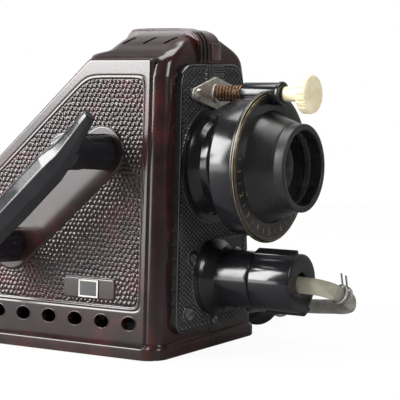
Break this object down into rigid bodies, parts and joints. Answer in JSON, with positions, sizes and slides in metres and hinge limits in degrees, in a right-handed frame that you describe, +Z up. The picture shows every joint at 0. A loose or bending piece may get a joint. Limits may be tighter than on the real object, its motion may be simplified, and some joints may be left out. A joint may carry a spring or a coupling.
{
  "type": "magic lantern",
  "caption": "Sloped-back opaque projector with a focusing lens, side handle, lamp and tilted mirror inside, picture window underneath, and a power cord with plug.",
  "frame": {"origin": "on the floor, under the joint plane of the two casing shells, 10 mm behind the front of the plinth; the base mount sits there", "axes": "+Z up; the lens looks along -Y; -X is the side with the handle"},
  "size_m": [0.3034, 0.3155, 0.207],
  "materials": {
    "bakelite": "polished dark brown mottled phenolic",
    "black_plastic": "polished black phenolic",
    "black_enamel": "black enamel, worn",
    "nickel": "dull nickel plate",
    "steel": "aged steel",
    "brass": "turned brass",
    "copper": "coppered spring wire",
    "ivory_plastic": "aged ivory-coloured plastic",
    "cream_rubber": "cream rubber",
    "grey_rubber": "grey-beige rubber",
    "white_ceramic": "glazed ceramic",
    "glass": "clear glass",
    "mirror": "silvered glass",
    "aluminium": "spun aluminium",
    "wire_plastic": "insulated wire"
  },
  "bodies": {
    "casing": {"left_shell": "bakelite", "right_shell": "bakelite", "shell_screws": "nickel", "shell_inserts": "brass", "front_plate": "black_plastic", "plate_screws": "steel", "lens_sleeve": "black_enamel", "sleeve_nut": "steel", "focus_nut_plate": "nickel", "nut_plate_screws": "nickel", "focus_spring": "copper", "socket_housing": "black_plastic", "socket_screws": "steel", "pin_carrier": "white_ceramic", "contact_pins": "brass", "plug_body": "black_plastic", "plug_contacts": "brass", "cord_sleeve": "cream_rubber", "power_cord": "grey_rubber", "cord_tie": "steel", "cord_coil": "grey_rubber", "coil_tie": "steel", "cord_tail": "grey_rubber", "mains_plug": "black_plastic", "mains_pins": "nickel", "base_plate": "bakelite", "base_screws": "steel", "window_glass": "glass", "window_clips": "steel", "mirror_carrier": "steel", "tilted_mirror": "mirror", "mirror_clips": "steel", "lamp_bracket": "steel", "lamp_holder": "white_ceramic", "lamp_cap": "brass", "lamp_bulb": "glass", "lamp_filament": "steel", "lamp_reflector": "aluminium", "heat_baffle": "aluminium", "live_wire": "wire_plastic", "neutral_wire": "wire_plastic", "side_handle": "black_plastic", "handle_screws": "steel", "handle_washers": "steel", "label_plate": "black_enamel"},
    "lens_unit": {"lens_drum": "black_plastic", "engraved_ring": "black_enamel", "lens_hood": "black_enamel", "front_lens": "glass", "front_lens_ring": "black_enamel", "lens_spacer": "black_enamel", "rear_lens": "glass", "rear_lens_ring": "brass", "boss_ferrule": "nickel"},
    "focus_gear": {"focus_spindle": "steel", "spindle_clip": "steel", "focus_knob": "ivory_plastic", "knob_screw": "steel"}
  },
  "joints": [
    {"name": "drum_slide", "type": "slide", "parent": "casing", "child": "lens_unit", "axis": [0, -1, 0], "range_m": [-0.005, 0.014], "deforming": ["focus_spring"]},
    {"name": "spindle_spin", "type": "hinge", "parent": "lens_unit", "child": "focus_gear", "pos_m": [0, -0.08, 0.1654], "axis": [0, -1, 0], "range_deg": [-901, 2521]}
  ],
  "couplings": [
    {"joint": "spindle_spin", "follows": "drum_slide", "rad_per_m": 3141.6}
  ]
}
